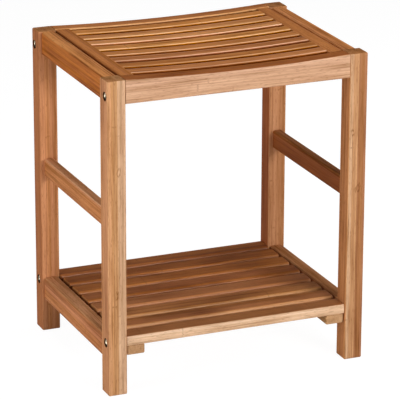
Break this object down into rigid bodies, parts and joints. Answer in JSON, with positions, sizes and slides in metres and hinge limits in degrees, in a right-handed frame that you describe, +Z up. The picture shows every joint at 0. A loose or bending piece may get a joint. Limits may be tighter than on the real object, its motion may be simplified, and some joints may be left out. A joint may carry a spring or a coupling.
{
  "type": "bathroom bench",
  "caption": "Free-standing slatted bamboo bench with a gently dished seat on square legs, side stretchers and a lower slatted storage shelf.",
  "frame": {"origin": "on the floor under the middle of the bench", "axes": "+X to the right seen from the front, +Y to the rear, +Z up"},
  "size_m": [0.39, 0.3, 0.457],
  "materials": {
    "bamboo_legs": "satin varnish over laminated bamboo strips",
    "bamboo_rails": "satin varnish over laminated bamboo strips",
    "bamboo_seat": "satin varnish over laminated bamboo strips",
    "bamboo_shelf": "satin varnish over laminated bamboo strips",
    "bolt_steel": "zinc plated",
    "screw_steel": "yellow zinc plated"
  },
  "bodies": {
    "root": {"leg_front_left": "bamboo_legs", "leg_front_right": "bamboo_legs", "leg_rear_left": "bamboo_legs", "leg_rear_right": "bamboo_legs", "top_rail_left": "bamboo_rails", "top_rail_right": "bamboo_rails", "middle_stretcher_left": "bamboo_rails", "middle_stretcher_right": "bamboo_rails", "lower_rail_left": "bamboo_rails", "lower_rail_right": "bamboo_rails", "seat_apron_front": "bamboo_seat", "seat_apron_rear": "bamboo_seat", "seat_stile_left": "bamboo_seat", "seat_stile_right": "bamboo_seat", "seat_slat_1": "bamboo_seat", "seat_slat_2": "bamboo_seat", "seat_slat_3": "bamboo_seat", "seat_slat_4": "bamboo_seat", "seat_slat_5": "bamboo_seat", "seat_slat_6": "bamboo_seat", "seat_slat_7": "bamboo_seat", "seat_slat_8": "bamboo_seat", "shelf_slat_1": "bamboo_shelf", "shelf_slat_2": "bamboo_shelf", "shelf_slat_3": "bamboo_shelf", "shelf_slat_4": "bamboo_shelf", "shelf_slat_5": "bamboo_shelf", "shelf_slat_6": "bamboo_shelf", "shelf_slat_7": "bamboo_shelf", "shelf_slat_8": "bamboo_shelf", "shelf_cleat_left": "bamboo_shelf", "shelf_cleat_right": "bamboo_shelf", "frame_bolts": "bolt_steel", "barrel_nuts": "bolt_steel", "cleat_screws": "screw_steel"}
  },
  "joints": []
}
